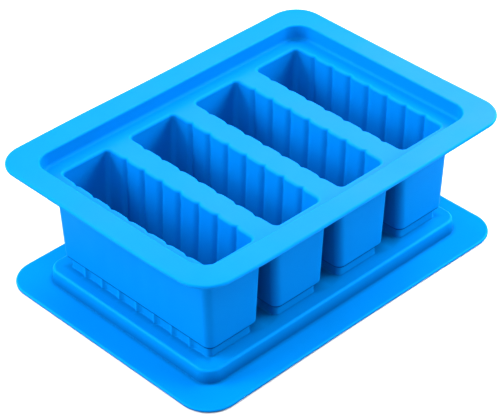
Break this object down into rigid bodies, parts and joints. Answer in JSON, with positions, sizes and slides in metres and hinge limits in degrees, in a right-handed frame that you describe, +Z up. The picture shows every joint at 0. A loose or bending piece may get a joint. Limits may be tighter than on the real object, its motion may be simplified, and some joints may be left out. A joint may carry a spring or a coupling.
{
  "type": "silicone soap mould",
  "caption": "Flexible soap mould tray with a row of deep fluted rectangular cavities below a stepped rim, and a plug lid.",
  "frame": {"origin": "centre of the lid's underside, on the table, with the lid plug side up and the tray standing on it", "axes": "+X along the row of cavities, +Y along each cavity, +Z up out of the cavities' mouths; -Y faces the front, where the cavity bodies' ends show"},
  "size_m": [0.24, 0.172, 0.0852],
  "materials": {
    "mould_silicone": "satin azure blue silicone",
    "lid_silicone": "satin azure blue silicone"
  },
  "bodies": {
    "lid": {"lid": "lid_silicone"},
    "tray": {"mould_tray": "mould_silicone"}
  },
  "joints": [
    {"name": "tray_lift", "type": "slide", "parent": "lid", "child": "tray", "axis": [0, 0, 1], "range_m": [0, 0.08]}
  ]
}
